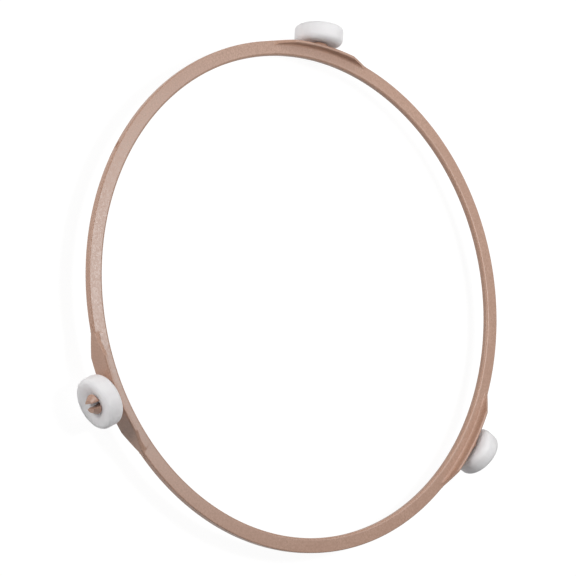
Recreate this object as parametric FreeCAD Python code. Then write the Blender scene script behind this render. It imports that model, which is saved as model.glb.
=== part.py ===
import FreeCAD, Part
import math
import os

# Roller ring of a microwave oven: a moulded ring with three snap pins, and a roller on each pin.
# Millimetres, +Z up. The rollers stand on z = 0 and the ring's axis is the Z axis.

# Rollers
ROLLER_D = 17.4            # over the tread
ROLLER_W = 6.2             # over both sides
SHOULDER_IN = 2.0          # rounding between the tread and the plain inner side
SHOULDER_OUT = 1.3         # rounding between the tread and the outer rim
RIM_LAND = 0.9             # flat of the outer rim
DISH_DEPTH = 1.1           # from the outer rim down to the hub face
HUB_LAND = 1.05            # flat of the hub face round the bore

# Rail of the ring
RING_D = 179.2             # over the rail
RAIL_W = 5.1               # width of the rail
RAIL_T = 2.6               # thickness of the rail
EDGE_IN = 0.9              # rounding of the rail's inner edges
EDGE_OUT = 0.4             # rounding of the rail's outer edges

# Bracket plates
PLATE_H = 8.4              # over both straight edges
PLATE_T = 1.1              # thickness
PLATE_PROUD = 0.1          # beyond the rail's outer wall
PLATE_FLAT = 26.6          # length of the straight edge
PLATE_FOOT = 41.0          # length where the ramps meet the rail's faces
PLATE_EDGE = 0.4           # rounding along the straight edges and ramps
ROOT_R = 1.1               # hollow between plate and rail
ROOT_SINK = 0.04           # the hollow starts this far below the rail's face

# Snap pins
ROLLER_COUNT = 3
FIRST_ANGLE = -90.0        # direction of the first roller, degrees
PIN_D = 5.0
PIN_CLEARANCE = 0.08       # radial running clearance in the roller's bore
BOSS_D = 6.4
END_PLAY = 0.25            # between roller and boss, and between roller and barb
ROLLER_GAP = 1.2           # between plate and roller
BARB_OVERHANG = 0.9        # barb beyond the pin, radially
BARB_LAND = 0.4            # straight part of the barb
BARB_L = 2.1               # whole length of the barb
TIP_D = 4.4                # diameter at the tip of the barb
SLOT_ROOT = 1.2            # slot width at its rounded root
SLOT_MOUTH = 1.8           # slot width at the tips

# Gate mark on the rail's outer wall
GATE_ANGLE = 215.2         # direction, degrees
GATE_L = 2.4
GATE_T = 0.7
GATE_PROUD = 0.3

MID_Z = ROLLER_D / 2
RING_R = RING_D / 2
HOLE_R = RING_R - RAIL_W
PLATE_RO = RING_R + PLATE_PROUD
PLATE_RI = PLATE_RO - PLATE_T
ROLLER_RI = PLATE_RO + ROLLER_GAP
ROLLER_RO = ROLLER_RI + ROLLER_W
HUB_FACE = ROLLER_RO - DISH_DEPTH
BOSS_END = ROLLER_RI - END_PLAY
BARB_START = HUB_FACE + END_PLAY
BARB_END = BARB_START + BARB_L
BORE_R = PIN_D / 2 + PIN_CLEARANCE
ANGLES = [FIRST_ANGLE + i * 360.0 / ROLLER_COUNT for i in range(ROLLER_COUNT)]
UP = FreeCAD.Vector(0, 0, 1)
OUT = FreeCAD.Vector(1, 0, 0)
ORIGIN = FreeCAD.Vector(0, 0, 0)
TOUCH = 0.001              # closer than this counts as the same place


def at(r, z):
    # point of a section in the XZ plane, z counted from the ring's middle plane
    return FreeCAD.Vector(r, 0, MID_Z + z)


def line(a, b):
    return Part.makeLine(at(*a), at(*b))


def arc(a, centre, radius, degrees, b):
    mid = math.radians(degrees)
    m = (centre[0] + radius * math.cos(mid), centre[1] + radius * math.sin(mid))
    return Part.Arc(at(*a), at(*m), at(*b)).toShape()


def polygon(points):
    return Part.Face(Part.makePolygon(points + points[:1]))


def rail():
    # a flat band with rounded edges, the same above and below its middle plane, where the mould parts
    low = FreeCAD.Vector(0, 0, MID_Z - RAIL_T / 2)
    band = Part.makeCylinder(RING_R, RAIL_T, low).cut(Part.makeCylinder(HOLE_R, RAIL_T, low))
    for radius, rounding in ((RING_R, EDGE_OUT), (HOLE_R, EDGE_IN)):
        rims = [e for e in band.Edges if e.isClosed() and abs(e.Curve.Radius - radius) < TOUCH]
        band = band.makeFillet(rounding, rims)
    return band


def bracket():
    # a taller plate at the rail's outside, with a hollow on its inner side; it lies on the +X side
    top, face = PLATE_H / 2, RAIL_T / 2
    cx, cz = PLATE_RI - ROOT_R, face - ROOT_SINK + ROOT_R
    edges = [line((PLATE_RO, -top), (PLATE_RO, top)), line((cx, ROOT_R - cz), (cx, cz - ROOT_R))]
    for s in (1, -1):
        edges += [
            line((PLATE_RO, s * top), (PLATE_RI, s * top)),
            line((PLATE_RI, s * top), (PLATE_RI, s * cz)),
            arc((PLATE_RI, s * cz), (cx, s * cz), ROOT_R, s * -45, (cx, s * (cz - ROOT_R))),
        ]
    # outline seen along the pin: straight edges, and ramps that run on below the rail's faces
    flat = PLATE_FLAT / 2
    end = flat + (PLATE_FOOT / 2 - flat) * top / (top - face)
    corners = [(-end, 0), (-flat, top), (flat, top), (end, 0), (flat, -top), (-flat, -top)]
    outline = polygon([FreeCAD.Vector(HOLE_R, y, MID_Z + z) for y, z in corners])
    turn = math.degrees(math.asin(end / cx))
    sector = Part.Face(Part.Wire(Part.__sortEdges__(edges))).revolve(ORIGIN, UP, 2 * turn)
    sector.rotate(ORIGIN, UP, -turn)
    plate = sector.common(outline.extrude(FreeCAD.Vector(ROLLER_RI - HOLE_R, 0, 0)))

    def on_border(edge):
        p = edge.valueAt((edge.FirstParameter + edge.LastParameter) / 2)
        height = min(top, top * (end - abs(p.y)) / (end - flat))
        on_wall = any(abs(math.hypot(p.x, p.y) - r) < TOUCH for r in (PLATE_RO, PLATE_RI))
        return on_wall and abs(abs(p.z - MID_Z) - height) < TOUCH

    return plate.makeFillet(PLATE_EDGE, [e for e in plate.Edges if on_border(e)])


def bar(r0, r1, d):
    # round bar along +X between two distances from the ring's axis
    return Part.makeCylinder(d / 2, r1 - r0, FreeCAD.Vector(r0, 0, MID_Z), OUT)


def snap_pin():
    # boss, pin and barb on the +X side, split by a slot that opens along Z
    inside = PLATE_RO - PLATE_T / 2
    barb_d = PIN_D + 2 * BARB_OVERHANG
    body = bar(inside, BOSS_END, BOSS_D)
    body = body.fuse(bar(inside, BARB_START + BARB_LAND, PIN_D))
    body = body.fuse(bar(BARB_START, BARB_START + BARB_LAND, barb_d))
    cone_at = FreeCAD.Vector(BARB_START + BARB_LAND, 0, MID_Z)
    body = body.fuse(Part.makeCone(barb_d / 2, TIP_D / 2, BARB_L - BARB_LAND, cone_at, OUT))
    root, low = BOSS_END + SLOT_ROOT, MID_Z - barb_d
    a, b = SLOT_ROOT / 2, SLOT_MOUTH / 2
    corners = [(root, -a), (BARB_END, -b), (BARB_END, b), (root, a)]
    slot = polygon([FreeCAD.Vector(x, y, low) for x, y in corners]).extrude(UP * (2 * barb_d))
    slot = slot.fuse(Part.makeCylinder(SLOT_ROOT / 2, 2 * barb_d, FreeCAD.Vector(root, 0, low), UP))
    return body.cut(slot)


def gate_mark():
    inside = RING_R - RAIL_W / 2
    corner = FreeCAD.Vector(inside, -GATE_L / 2, MID_Z - GATE_T / 2)
    mark = Part.makeBox(RING_R + GATE_PROUD - inside, GATE_L, GATE_T, corner)
    mark.rotate(ORIGIN, UP, GATE_ANGLE)
    return mark


def turned(shape, angle):
    copy = shape.copy()
    copy.rotate(ORIGIN, UP, angle)
    return copy


def ring():
    arm, pin = bracket(), snap_pin()
    pieces = [turned(s, a) for a in ANGLES for s in (arm, pin)]
    return rail().fuse(pieces + [gate_mark()]).removeSplitter()


def roller():
    # section over the pin on the +X side, turned about the pin's axis
    tread = ROLLER_D / 2
    rim, side = tread - SHOULDER_OUT, tread - SHOULDER_IN
    dish, land = rim - RIM_LAND, BORE_R + HUB_LAND
    outer, inner = ROLLER_RO - SHOULDER_OUT, ROLLER_RI + SHOULDER_IN
    edges = [
        line((ROLLER_RI, BORE_R), (HUB_FACE, BORE_R)),
        line((HUB_FACE, BORE_R), (HUB_FACE, land)),
        line((HUB_FACE, land), (ROLLER_RO, dish)),
        line((ROLLER_RO, dish), (ROLLER_RO, rim)),
        arc((ROLLER_RO, rim), (outer, rim), SHOULDER_OUT, 45, (outer, tread)),
        line((outer, tread), (inner, tread)),
        arc((inner, tread), (inner, side), SHOULDER_IN, 135, (ROLLER_RI, side)),
        line((ROLLER_RI, side), (ROLLER_RI, BORE_R)),
    ]
    return Part.Face(Part.Wire(edges)).revolve(at(0, 0), OUT, 360)


os.makedirs("parts", exist_ok=True)
ring().exportStep("parts/ring.step")
for number, angle in enumerate(ANGLES, 1):
    turned(roller(), angle).exportStep("parts/roller_%d.step" % number)
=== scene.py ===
# %% [markdown]
# A roller ring lies under the glass tray of a microwave oven: a thin moulded ring with three white rollers
# on split pins. This lesson models the ring and the rollers over an imported CAD frame, gives each its
# plastic, and lights them as for a catalogue picture. The frame is loaded first.

# %% Load the frame
import math
import bmesh
import bpy
from mathutils import Matrix, Vector


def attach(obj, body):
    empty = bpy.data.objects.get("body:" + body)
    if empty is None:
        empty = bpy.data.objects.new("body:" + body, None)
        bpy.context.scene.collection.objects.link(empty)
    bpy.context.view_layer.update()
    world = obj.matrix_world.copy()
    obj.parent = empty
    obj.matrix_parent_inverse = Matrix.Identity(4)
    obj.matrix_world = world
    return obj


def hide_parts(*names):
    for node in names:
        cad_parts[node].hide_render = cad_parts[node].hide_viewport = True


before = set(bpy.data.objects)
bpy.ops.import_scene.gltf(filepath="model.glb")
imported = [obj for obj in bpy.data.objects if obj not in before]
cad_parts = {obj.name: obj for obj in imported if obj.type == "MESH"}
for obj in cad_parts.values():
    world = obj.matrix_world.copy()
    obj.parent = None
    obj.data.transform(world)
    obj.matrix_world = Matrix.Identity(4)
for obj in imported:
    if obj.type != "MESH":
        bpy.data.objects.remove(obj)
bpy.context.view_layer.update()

MM = 0.001                      # one millimetre in Blender's metres
print("frame:", sorted(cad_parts))

# %% [markdown]
# The camera comes next, because every later choice is judged through it. The photograph looks down on the
# ring at about 52 degrees, and the camera is rolled on its side by 79 degrees, so the ring seems to stand on
# edge. A camera could be aimed with a constraint, but that leaves the roll open. So its three turns are
# written one after the other: swing round the ring, tilt down, then roll.

# %% Camera
CAMERA_AIM = Vector((-5.0, -7.1, 8.7)) * MM
CAMERA_DISTANCE = 652.8 * MM
CAMERA_SWING, CAMERA_HEIGHT, CAMERA_ROLL = (math.radians(a) for a in (-12.52, 51.74, 78.74))
CAMERA_LENS, SENSOR = 117.8, 36     # millimetres

turn = (
    Matrix.Rotation(CAMERA_SWING, 4, "Z")
    @ Matrix.Rotation(math.pi / 2 - CAMERA_HEIGHT, 4, "X")
    @ Matrix.Rotation(CAMERA_ROLL, 4, "Z")
)
step_back = turn @ Vector((0, 0, CAMERA_DISTANCE))
bpy.ops.object.select_all(action="DESELECT")
bpy.ops.object.camera_add()
camera = bpy.context.object
camera.matrix_world = Matrix.Translation(CAMERA_AIM + step_back) @ turn
camera.data.lens = CAMERA_LENS
camera.data.sensor_width = SENSOR
bpy.context.scene.camera = camera
print("camera at", [round(v / MM) for v in camera.location], "mm")

# %% [markdown]
# A material here is a handful of nodes. They could be wired line by line, but that hides what they are for.
# So one small function adds a node, sets its options and fills its sockets with values or links, and another
# turns the hex colours of a paint program into Blender's linear colours. Pattern scales are worked out from
# the size of a spot in millimetres.

# %% Helpers for materials
def add_node(tree, kind, sockets, **options):
    node = tree.nodes.new(kind)
    for name, value in options.items():
        setattr(node, name, value)
    for name, value in sockets.items():
        if isinstance(value, bpy.types.NodeSocket):
            tree.links.new(value, node.inputs[name])
        else:
            node.inputs[name].default_value = value
    return node


def colour(hex_code):
    parts = [int(hex_code[i:i + 2], 16) / 255 for i in (1, 3, 5)]
    return [c / 12.92 if c <= 0.04045 else ((c + 0.055) / 1.055) ** 2.4 for c in parts] + [1]


def per_spot(size):
    return 1 / (size * MM)


def new_material(name):
    material = bpy.data.materials.new(name)
    material.use_nodes = True
    material.node_tree.nodes.clear()
    return material, material.node_tree


print("mid grey in linear light:", round(colour("#808080")[0], 3))

# %% [markdown]
# The ring lies in a white studio. The floor could be lit until it burns out to white, but that would bleach
# the rollers too. So the light path is asked who is looking: the camera sees white, and so does a gloss or a
# clear part that shows the room, while the light that falls on the ring comes from plain paper and a dim
# room. What is seen of the floor is part paper and part a steady glow, so that it comes out white and still
# keeps a soft shadow.

# %% Floor and background
WHITE = colour("#FFFFFF")
FLOOR_SIZE = 6                  # metres
PAPER_GLOW, ROOM_LIGHT = 0.93, 0.06


def is_looked_at(tree):
    rays = add_node(tree, "ShaderNodeLightPath", {}).outputs
    seen = rays["Is Camera Ray"]
    for kind in ("Is Glossy Ray", "Is Transmission Ray"):
        seen = add_node(tree, "ShaderNodeMath", {0: seen, 1: rays[kind]}, operation="MAXIMUM").outputs[0]
    return seen


def matte_paper():
    # even matte white: only the shadow shows the eye that a sheet is there
    material, tree = new_material("matte white paper")
    sheet = add_node(tree, "ShaderNodeBsdfDiffuse", {"Color": colour("#B4B4B4")})
    dim = add_node(tree, "ShaderNodeBsdfDiffuse", {"Color": colour("#707070")})
    glow = add_node(tree, "ShaderNodeEmission", {"Color": WHITE, "Strength": PAPER_GLOW})
    bright = add_node(tree, "ShaderNodeAddShader", {0: dim.outputs[0], 1: glow.outputs[0]})
    mix = add_node(tree, "ShaderNodeMixShader", {
        0: is_looked_at(tree), 1: sheet.outputs[0], 2: bright.outputs[0],
    })
    add_node(tree, "ShaderNodeOutputMaterial", {"Surface": mix.outputs[0]})
    return material


bpy.ops.mesh.primitive_plane_add(size=FLOOR_SIZE)
floor = bpy.context.object
floor.name = "floor"
floor.data.materials.append(matte_paper())

world = bpy.data.worlds.new("studio")
bpy.context.scene.world = world
world.use_nodes = True
studio = world.node_tree
studio.nodes.clear()
room = add_node(studio, "ShaderNodeBackground", {"Color": WHITE, "Strength": ROOM_LIGHT})
backdrop = add_node(studio, "ShaderNodeBackground", {"Color": WHITE, "Strength": 1})
sky = add_node(studio, "ShaderNodeMixShader", {
    0: is_looked_at(studio), 1: room.outputs[0], 2: backdrop.outputs[0],
})
add_node(studio, "ShaderNodeOutputWorld", {"Surface": sky.outputs[0]})
print("stage:", floor.name, "and", world.name)

# %% [markdown]
# One large lamp would light the ring evenly and flatly. Five soft boxes stand round it instead, as in a
# product studio. The sheen box and the smaller top box hang beyond the ring, where its flat face and its
# rounded inner edge mirror them, and give it a satin sheen. The side box stands low at the left of the
# picture and lights the outer wall and the nearest roller. The back box shines over the far roller from
# behind, so that its rim stays soft and white, and the wide, weak fill box opens the shadows. Each is given
# by its direction from the origin, its distance and size in metres, and its power in watts.

# %% Soft boxes
def soft_box(name, direction, distance, size, power):
    bpy.ops.object.light_add(type="AREA")
    light = bpy.context.object
    light.name = name
    light.data.shape = "DISK"
    light.data.size = size
    light.data.energy = power
    way = Vector(direction).normalized()
    facing = way.to_track_quat("Z", "Y").to_matrix().to_4x4()
    light.matrix_world = Matrix.Translation(way * distance) @ facing
    print("soft box", name, power, "W")


soft_box("sheen", (0.03, 0.47, 0.89), distance=0.87, size=0.25, power=1.9)
soft_box("top", (0.03, 0.35, 0.94), distance=0.37, size=0.12, power=0.48)
soft_box("back", (-0.70, 0.50, 0.50), distance=0.40, size=0.20, power=0.28)
soft_box("side", (-0.68, -0.72, 0.15), distance=0.70, size=0.30, power=3.0)
soft_box("fill", (0.70, -0.62, 0.35), distance=0.70, size=0.50, power=0.55)
bpy.context.scene.view_settings.view_transform = "Standard"

# %% [markdown]
# Modelling goes on in edit mode, where an operator works on whatever is selected. A mouse would pick the
# vertices, edges or faces. Here a test of their place picks them, so each step still reads as it would be
# done by hand. The pieces are modelled with one Blender unit as a millimetre, which suits the operators'
# small thresholds, and are shrunk to metres at the end.

# %% Picking by place
TOUCH = 0.001                   # closer than this counts as the same place


def near(a, b):
    return abs(a - b) < TOUCH


def choose(piece, kind, test):
    bpy.ops.mesh.select_mode(type=kind)
    bpy.ops.mesh.select_all(action="DESELECT")
    mesh = bmesh.from_edit_mesh(piece.data)
    for part in {"VERT": mesh.verts, "EDGE": mesh.edges, "FACE": mesh.faces}[kind]:
        corners = [part] if kind == "VERT" else part.verts
        place = sum((v.co for v in corners), Vector()) / len(corners)
        if test(place):
            part.select_set(True)
    mesh.select_flush_mode()
    bmesh.update_edit_mesh(piece.data)


print("one unit stands for", MM, "m while modelling")

# %% [markdown]
# The rail, the bracket plates and the rollers are all round about an axis. Each could start from a cylinder,
# but then every rounding would need its own bevel. It is less work to draw the section on one
# side of the axis as an upright sheet, to round its corners there, and to spin its outline.

# %% Sections and sweeps
def section(name, x0, x1, z0, z1):
    # upright sheet in the XZ plane, left in edit mode
    bpy.ops.object.select_all(action="DESELECT")
    middle = ((x0 + x1) / 2, 0, (z0 + z1) / 2)
    bpy.ops.mesh.primitive_plane_add(size=1, location=middle, rotation=(math.pi / 2, 0, 0))
    piece = bpy.context.object
    piece.name = name
    piece.scale = (x1 - x0, z1 - z0, 1)
    bpy.ops.object.transform_apply(location=True, rotation=True, scale=True)
    bpy.ops.object.mode_set(mode="EDIT")
    print("section", name, round(x1 - x0, 2), "by", round(z1 - z0, 2), "mm")
    return piece


def round_corners(piece, x, heights, radius, segments):
    choose(piece, "VERT", lambda p: near(p.x, x) and any(near(p.z, z) for z in heights))
    bpy.ops.mesh.bevel(offset=radius, segments=segments, affect="VERTICES")


def sweep(centre, axis, angle, steps):
    # only the outline is swept, so no wall is left inside
    bpy.ops.mesh.select_all(action="SELECT")
    bpy.ops.mesh.delete(type="ONLY_FACE")
    bpy.ops.mesh.select_mode(type="VERT")
    bpy.ops.mesh.select_all(action="SELECT")
    bpy.ops.mesh.spin(steps=steps, angle=angle, center=centre, axis=axis)
    bpy.ops.mesh.select_all(action="SELECT")
    bpy.ops.mesh.remove_doubles(threshold=TOUCH)
    bpy.ops.mesh.normals_make_consistent(inside=False)


print("a sweep joins its ends where they are within", TOUCH, "mm")

# %% [markdown]
# The rail is the ring's backbone: a flat band with rounded edges. On the real moulding its section is the
# same all the way round and the same above and below, because the mould parts at its middle plane. A
# squashed torus would come near, but the inner edges are rounder than the outer ones, where fingers lift the
# ring out, and a spun section gives each its own rounding.

# %% Rail
MID_Z = 8.7                     # the ring's middle plane over the floor
RING_R, HOLE_R, RAIL_T = 89.6, 84.5, 2.6
EDGE_IN, EDGE_OUT = 0.9, 0.4    # roundings of the inner and outer edges
RAIL_STEPS = 360
TOP, LOW = MID_Z + RAIL_T / 2, MID_Z - RAIL_T / 2

ring = section("ring_moulding", HOLE_R, RING_R, LOW, TOP)
round_corners(ring, HOLE_R, (LOW, TOP), EDGE_IN, segments=6)
round_corners(ring, RING_R, (LOW, TOP), EDGE_OUT, segments=4)
sweep((0, 0, 0), (0, 0, 1), 2 * math.pi, RAIL_STEPS)
bpy.ops.object.mode_set(mode="OBJECT")
print("rail:", len(ring.data.vertices), "vertices")

# %% [markdown]
# At each roller the rail's outside grows into a taller plate, with a hollow where it meets the rail. The
# plate could be a bent box, and the hollow a separate fillet. In the section both are one outline: the sheet
# gets a foot that reaches into the rail, and the corners between them are rounded. Then a sector of it is
# swept.

# %% Bracket plate
PLATE_RI, PLATE_RO = 88.6, 89.7
PLATE_TOP = 4.2                 # straight edge over the middle plane
ROOT_R, ROOT_SINK = 1.1, 0.04   # the hollow, and how far below the rail's face it starts
FOOT_REACH = 0.3                # flat beyond the hollow, inside the rail
SECTOR, SECTOR_STEPS = math.radians(54), 162
STRAIGHT = 0.001                # radians: edges that turn by less are one edge


def cut(z):
    bpy.ops.mesh.select_all(action="SELECT")
    bpy.ops.mesh.bisect(plane_co=(0, 0, z), plane_no=(0, 0, 1))


def one_sheet():
    # the cuts have done their work, and go
    bpy.ops.mesh.select_mode(type="FACE")
    bpy.ops.mesh.select_all(action="SELECT")
    bpy.ops.mesh.dissolve_faces()
    bpy.ops.mesh.dissolve_limited(angle_limit=STRAIGHT)


plate = section("bracket", PLATE_RI, PLATE_RO, MID_Z - PLATE_TOP, MID_Z + PLATE_TOP)
foot = (LOW + ROOT_SINK, TOP - ROOT_SINK)
for height in foot:
    cut(height)
choose(plate, "EDGE", lambda p: near(p.x, PLATE_RI) and foot[0] < p.z < foot[1])
bpy.ops.mesh.extrude_region_move(TRANSFORM_OT_translate={"value": (-ROOT_R - FOOT_REACH, 0, 0)})
one_sheet()
round_corners(plate, PLATE_RI, foot, ROOT_R, segments=8)
sweep((0, 0, 0), (0, 0, 1), SECTOR, SECTOR_STEPS)
bpy.ops.transform.rotate(value=-SECTOR / 2, orient_axis="Z", center_override=(0, 0, 0))
print("bracket plate:", round(2 * PLATE_TOP, 1), "mm high")

# %% [markdown]
# The plate ends in ramps, so that the ring slides into its place without catching. A boolean with a wedge
# could cut them. Bisect is simpler: it saws the sector off along a plane and closes the cut. A bevel along
# the border then rounds the straight edges and the ramps alike.

# %% Bracket ramps
PLATE_FLAT, PLATE_END = 13.3, 23.73     # half lengths: of the straight edge, and to the ramps' point
PLATE_EDGE = 0.4
ON_WALL = 0.01                  # closer than this lies on a curved wall


def on_border(p):
    height, radius = abs(p.z - MID_Z), math.hypot(p.x, p.y)
    ramp = PLATE_TOP * (PLATE_END - abs(p.y)) / (PLATE_END - PLATE_FLAT)
    outline = height > RAIL_T / 2 and near(height, min(PLATE_TOP, ramp))
    outside = radius > PLATE_RO - ON_WALL and outline
    return outside or (radius < PLATE_RI + ON_WALL and near(height, PLATE_TOP))


for y in (1, -1):
    for z in (1, -1):
        bpy.ops.mesh.select_all(action="SELECT")
        point = (0, y * PLATE_END, MID_Z)
        slope = Vector((0, y * PLATE_TOP, z * (PLATE_END - PLATE_FLAT))).normalized()
        bpy.ops.mesh.bisect(plane_co=point, plane_no=slope, use_fill=True, clear_outer=True)
bpy.ops.mesh.select_all(action="SELECT")
bpy.ops.mesh.normals_make_consistent(inside=False)
choose(plate, "EDGE", on_border)
bpy.ops.mesh.bevel(offset=PLATE_EDGE, segments=4)
bpy.ops.object.mode_set(mode="OBJECT")
print("bracket plate with its ramps:", len(plate.data.vertices), "vertices")

# %% [markdown]
# A pin carries each roller. It could be spun from a section too, but drawing out the end of a cylinder shows
# its features one by one. The boss comes first, which keeps the roller off the plate. Its end face is inset
# and drawn out to the pin, then to the barb that the roller snaps over, then to the cone that spreads it.

# %% Snap pin
BOSS_R, PIN_R, BARB_R, TIP_R = 3.2, 2.5, 3.4, 2.2
PIN_ROOT, BOSS_END, BARB_START, BARB_END = 89.15, 90.65, 96.25, 98.35
BARB_LAND = 0.4                 # straight part of the barb
PIN_SIDES = 64


def draw_out(reach, size=1):
    bpy.ops.mesh.extrude_region_move(TRANSFORM_OT_translate={"value": (reach, 0, 0)})
    bpy.ops.transform.resize(value=(1, size, size))


bpy.ops.object.select_all(action="DESELECT")
bpy.ops.mesh.primitive_cylinder_add(
    vertices=PIN_SIDES, radius=BOSS_R, depth=BOSS_END - PIN_ROOT,
    location=((BOSS_END + PIN_ROOT) / 2, 0, MID_Z), rotation=(0, math.pi / 2, 0),
)
pin = bpy.context.object
pin.name = "snap_pin"
bpy.ops.object.transform_apply(location=True, rotation=True)
bpy.ops.object.mode_set(mode="EDIT")
choose(pin, "FACE", lambda p: near(p.x, BOSS_END))
bpy.ops.mesh.inset(thickness=BOSS_R - PIN_R)
draw_out(BARB_START - BOSS_END)
draw_out(0, BARB_R / PIN_R)
draw_out(BARB_LAND)
draw_out(BARB_END - BARB_START - BARB_LAND, TIP_R / BARB_R)
bpy.ops.object.mode_set(mode="OBJECT")
print("snap pin:", [round(v, 2) for v in pin.dimensions], "mm")

# %% [markdown]
# A slot splits the pin into two prongs, which spring together as a roller is pushed on. The prongs could be
# modelled apart, but a cutter keeps the pin in one piece: a cube with a rounded root and a wider mouth,
# which a boolean takes out. The root's two roundings stop just short of each other, because a bevel that
# meets itself would leave a fold. A fine bevel then takes the sharpness off the prongs, as a polished mould
# does.

# %% Slot
SLOT_START, SLOT_ROOT, SLOT_MOUTH = 91.25, 1.2, 1.8
SLOT_ROUND = SLOT_ROOT * 0.48   # just under half the root's width
PAST_TIP = 0.1                  # the cutter runs this far past the tip
CUTTER_H = BARB_R * 4           # well over and under the barb
FINE_EDGE = 0.12                # rounding of the smallest edges
SHARP = math.radians(35)        # edges sharper than this are rounded


def apply_modifier(piece, kind, **options):
    bpy.context.view_layer.objects.active = piece
    modifier = piece.modifiers.new(kind.lower(), kind)
    for name, value in options.items():
        setattr(modifier, name, value)
    bpy.ops.object.modifier_apply(modifier=modifier.name)


def combine(piece, other, operation):
    apply_modifier(piece, "BOOLEAN", object=other, operation=operation, solver="EXACT")
    bpy.data.objects.remove(other)


bpy.ops.object.select_all(action="DESELECT")
length = BARB_END + PAST_TIP - SLOT_START
bpy.ops.mesh.primitive_cube_add(
    size=1, location=(SLOT_START + length / 2, 0, MID_Z), scale=(length, SLOT_ROOT, CUTTER_H),
)
slot = bpy.context.object
bpy.ops.object.transform_apply(location=True, scale=True)
bpy.ops.object.mode_set(mode="EDIT")
choose(slot, "FACE", lambda p: near(p.x, SLOT_START + length))
bpy.ops.transform.resize(value=(1, SLOT_MOUTH / SLOT_ROOT, 1))
choose(slot, "EDGE", lambda p: near(p.x, SLOT_START) and near(p.z, MID_Z))
bpy.ops.mesh.bevel(offset=SLOT_ROUND, segments=6)
bpy.ops.object.mode_set(mode="OBJECT")
combine(pin, slot, "DIFFERENCE")
apply_modifier(pin, "BEVEL", width=FINE_EDGE, segments=2, limit_method="ANGLE", angle_limit=SHARP)
combine(plate, pin, "UNION")
print("bracket with its pin:", len(plate.data.vertices), "vertices")

# %% [markdown]
# The mould was filled at one place on the outer wall, where a small nub is left. Bump in a material would
# not show on the outline, so the nub is a small block with a bevel. Then the three brackets and the nub are
# joined to the rail. They could just lie in each other, but the real moulding is one closed skin, and so is
# this one.

# %% Gate mark and one skin
GATE_ANGLE, GATE_L, GATE_T, GATE_PROUD = 215.2, 2.4, 0.7, 0.3
GATE_EDGE = 0.1
ROLLER_ANGLES = (-90, 30, 150)


def turned_copy(piece, degrees):
    copy = piece.copy()
    copy.data = piece.data.copy()
    bpy.context.collection.objects.link(copy)
    bpy.ops.object.select_all(action="DESELECT")
    copy.select_set(True)
    bpy.context.view_layer.objects.active = copy
    copy.rotation_euler.z = math.radians(degrees)
    bpy.ops.object.transform_apply(rotation=True)
    return copy


bpy.ops.object.select_all(action="DESELECT")
bpy.ops.mesh.primitive_cube_add(
    size=1, location=(RING_R, 0, MID_Z), scale=(2 * GATE_PROUD, GATE_L, GATE_T),
)
gate = bpy.context.object
bpy.ops.object.transform_apply(location=True, scale=True)
apply_modifier(gate, "BEVEL", width=GATE_EDGE, segments=2)
gate.rotation_euler.z = math.radians(GATE_ANGLE)
bpy.ops.object.transform_apply(rotation=True)
for angle in ROLLER_ANGLES:
    combine(ring, turned_copy(plate, angle), "UNION")
combine(ring, gate, "UNION")
bpy.data.objects.remove(plate)
print("ring moulding:", len(ring.data.vertices), "vertices")

# %% [markdown]
# A roller is a plain disc on its inner side, and has a shallow dish on its outer side that runs down to the
# hub. A cylinder with insets would give the dish, but the tread's two shoulders differ in their rounding. So
# one section is shaped over the pin, its corners are rounded, and its outline is spun about the pin's axis.
# The three rollers are copies of it.

# %% Rollers
ROLLER_R, BORE_R = 8.7, 2.58
ROLLER_RI, HUB_FACE, ROLLER_RO = 90.9, 96.0, 97.1
HUB_R, DISH_R = 3.63, 6.5       # where the hub face ends and where the dish ends
SHOULDER_IN, SHOULDER_OUT = 2.0, 1.3
DISH_ROUND = 0.9                # at the dish's rim and at its foot
ROLLER_STEPS = 128

roller = section("roller", ROLLER_RI, ROLLER_RO, MID_Z + BORE_R, MID_Z + ROLLER_R)
for radius in (HUB_R, DISH_R):
    cut(MID_Z + radius)
choose(roller, "VERT", lambda p: near(p.x, ROLLER_RO) and p.z < MID_Z + HUB_R + TOUCH)
bpy.ops.transform.translate(value=(HUB_FACE - ROLLER_RO, 0, 0))
one_sheet()
round_corners(roller, ROLLER_RI, (MID_Z + ROLLER_R,), SHOULDER_IN, segments=10)
round_corners(roller, ROLLER_RO, (MID_Z + ROLLER_R,), SHOULDER_OUT, segments=8)
round_corners(roller, ROLLER_RO, (MID_Z + DISH_R,), DISH_ROUND, segments=5)
round_corners(roller, HUB_FACE, (MID_Z + HUB_R,), DISH_ROUND, segments=5)
for side in (ROLLER_RI, HUB_FACE):
    round_corners(roller, side, (MID_Z + BORE_R,), FINE_EDGE, segments=2)
sweep((0, 0, MID_Z), (1, 0, 0), 2 * math.pi, ROLLER_STEPS)
bpy.ops.object.mode_set(mode="OBJECT")
rollers = [turned_copy(roller, angle) for angle in ROLLER_ANGLES]
bpy.data.objects.remove(roller)
print("rollers:", len(rollers), "of", len(rollers[0].data.vertices), "vertices")

# %% [markdown]
# The ring is moulded in a glass-filled polyester, PBT, which stands the oven's heat. The mould was
# spark-eroded, so the skin is satin with a fine pale speckle, and the tan is a little uneven where the melt
# flowed. Colour, gloss and height could each have a noise of their own. One noise drives all three, because
# on the real skin they are the same grains.

# %% Ring plastic
SPECKLE, SPECKLE_DEPTH = 0.6, 0.03  # millimetres; the real grains are finer, and drawn coarser to show
MELT_FLOW = 14                  # millimetres across an uneven patch


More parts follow.
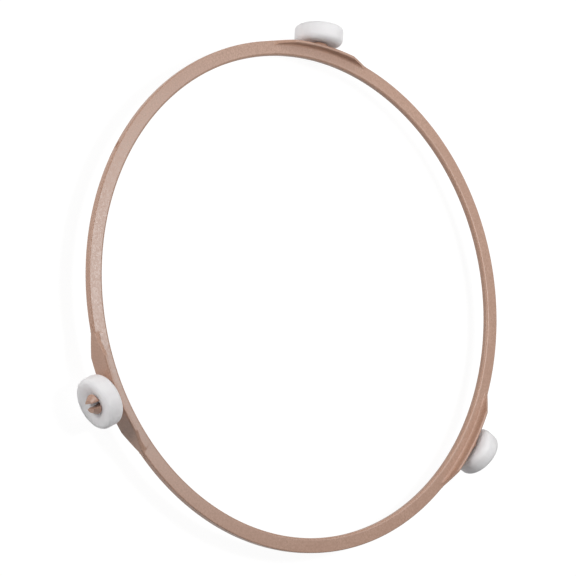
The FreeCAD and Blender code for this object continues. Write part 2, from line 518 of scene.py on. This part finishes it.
def moulded_pbt():
    # satin tan that breaks into fine bright grains where it mirrors a lamp
    material, tree = new_material("moulded tan PBT")
    place = add_node(tree, "ShaderNodeTexCoord", {}).outputs["Object"]
    grain = add_node(tree, "ShaderNodeTexNoise", {
        "Vector": place, "Scale": per_spot(SPECKLE), "Detail": 2, "Roughness": 0.6,
    }).outputs["Fac"]
    flow = add_node(tree, "ShaderNodeTexNoise", {
        "Vector": place, "Scale": per_spot(MELT_FLOW), "Detail": 2,
    }).outputs["Fac"]
    tan = add_node(tree, "ShaderNodeValToRGB", {"Fac": grain})
    stops = tan.color_ramp.elements
    stops[0].position, stops[0].color = 0.30, colour("#A27E69")
    stops[1].position, stops[1].color = 0.70, colour("#C7A38F")
    uneven = add_node(tree, "ShaderNodeMix", {
        0: flow, 6: tan.outputs["Color"], 7: colour("#B08A76"),
    }, data_type="RGBA")
    satin = add_node(tree, "ShaderNodeMapRange", {
        "Value": grain, "From Min": 0.36, "From Max": 0.64, "To Min": 0.33, "To Max": 0.43,
    })
    bump = add_node(tree, "ShaderNodeBump", {
        "Height": grain, "Strength": 0.5, "Distance": SPECKLE_DEPTH * MM,
    })
    skin = add_node(tree, "ShaderNodeBsdfPrincipled", {
        "Base Color": uneven.outputs[2], "Roughness": satin.outputs["Result"],
        "Normal": bump.outputs["Normal"], "IOR": 1.5,
    })
    add_node(tree, "ShaderNodeOutputMaterial", {"Surface": skin.outputs[0]})
    return material


ring_plastic = moulded_pbt()
print(ring_plastic.name, len(ring_plastic.node_tree.nodes), "nodes")

# %% [markdown]
# The rollers are white acetal, POM, a slippery plastic that needs no oil. A plain white would look like
# paint. Acetal is waxy: light goes some millimetres into it and comes out again, so its shadows are soft and
# its edges glow, and subsurface scattering gives that. The white is not quite even, and the skin has a soft
# gloss with a faint haze.

# %% Roller plastic
HAZE, HAZE_DEPTH = 2.5, 0.03    # millimetres: across a hazy patch, and its height
GLOW = 8                        # millimetres that light spreads in the plastic


def moulded_acetal():
    # waxy white with soft shadows and no hard highlight
    material, tree = new_material("moulded white acetal")
    place = add_node(tree, "ShaderNodeTexCoord", {}).outputs["Object"]
    haze = add_node(tree, "ShaderNodeTexNoise", {
        "Vector": place, "Scale": per_spot(HAZE), "Detail": 4, "Roughness": 0.6,
    }).outputs["Fac"]
    white = add_node(tree, "ShaderNodeValToRGB", {"Fac": haze})
    stops = white.color_ramp.elements
    stops[0].position, stops[0].color = 0.3, colour("#F6F0F5")
    stops[1].position, stops[1].color = 0.7, colour("#FBF5FA")
    gloss = add_node(tree, "ShaderNodeMapRange", {"Value": haze, "To Min": 0.50, "To Max": 0.62})
    bump = add_node(tree, "ShaderNodeBump", {
        "Height": haze, "Strength": 0.1, "Distance": HAZE_DEPTH * MM,
    })
    skin = add_node(tree, "ShaderNodeBsdfPrincipled", {
        "Base Color": white.outputs["Color"], "Roughness": gloss.outputs["Result"],
        "Normal": bump.outputs["Normal"], "IOR": 1.48,
        "Subsurface Weight": 1.0, "Subsurface Radius": (1, 1, 1), "Subsurface Scale": GLOW * MM,
    })
    add_node(tree, "ShaderNodeOutputMaterial", {"Surface": skin.outputs[0]})
    return material


roller_plastic = moulded_acetal()
print(roller_plastic.name, len(roller_plastic.node_tree.nodes), "nodes")

# %% [markdown]
# Each piece is now shrunk to metres, smoothed over its curves and given its plastic. Plain smooth shading
# would bend the light on the flat faces beside their rounded edges, and weighted normals keep them flat.
# Each piece then takes the place of its CAD node and rides on that node's body.

# %% Finish the pieces
SMOOTH = math.radians(32)       # edges flatter than this are shaded smooth


def dress(piece, node, material):
    bpy.ops.object.select_all(action="DESELECT")
    piece.select_set(True)
    bpy.context.view_layer.objects.active = piece
    piece.name = node + "_piece"
    piece.scale = (MM, MM, MM)
    bpy.ops.object.transform_apply(scale=True)
    bpy.ops.object.shade_smooth_by_angle(angle=SMOOTH)
    apply_modifier(piece, "WEIGHTED_NORMAL", keep_sharp=True, weight=100)
    piece.data.materials.clear()
    piece.data.materials.append(material)
    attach(piece, node)
    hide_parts(node)
    print(piece.name, [round(v / MM, 2) for v in piece.dimensions], "mm")


dress(ring, "ring", ring_plastic)
for number, piece in enumerate(rollers, 1):
    dress(piece, "roller_%d" % number, roller_plastic)
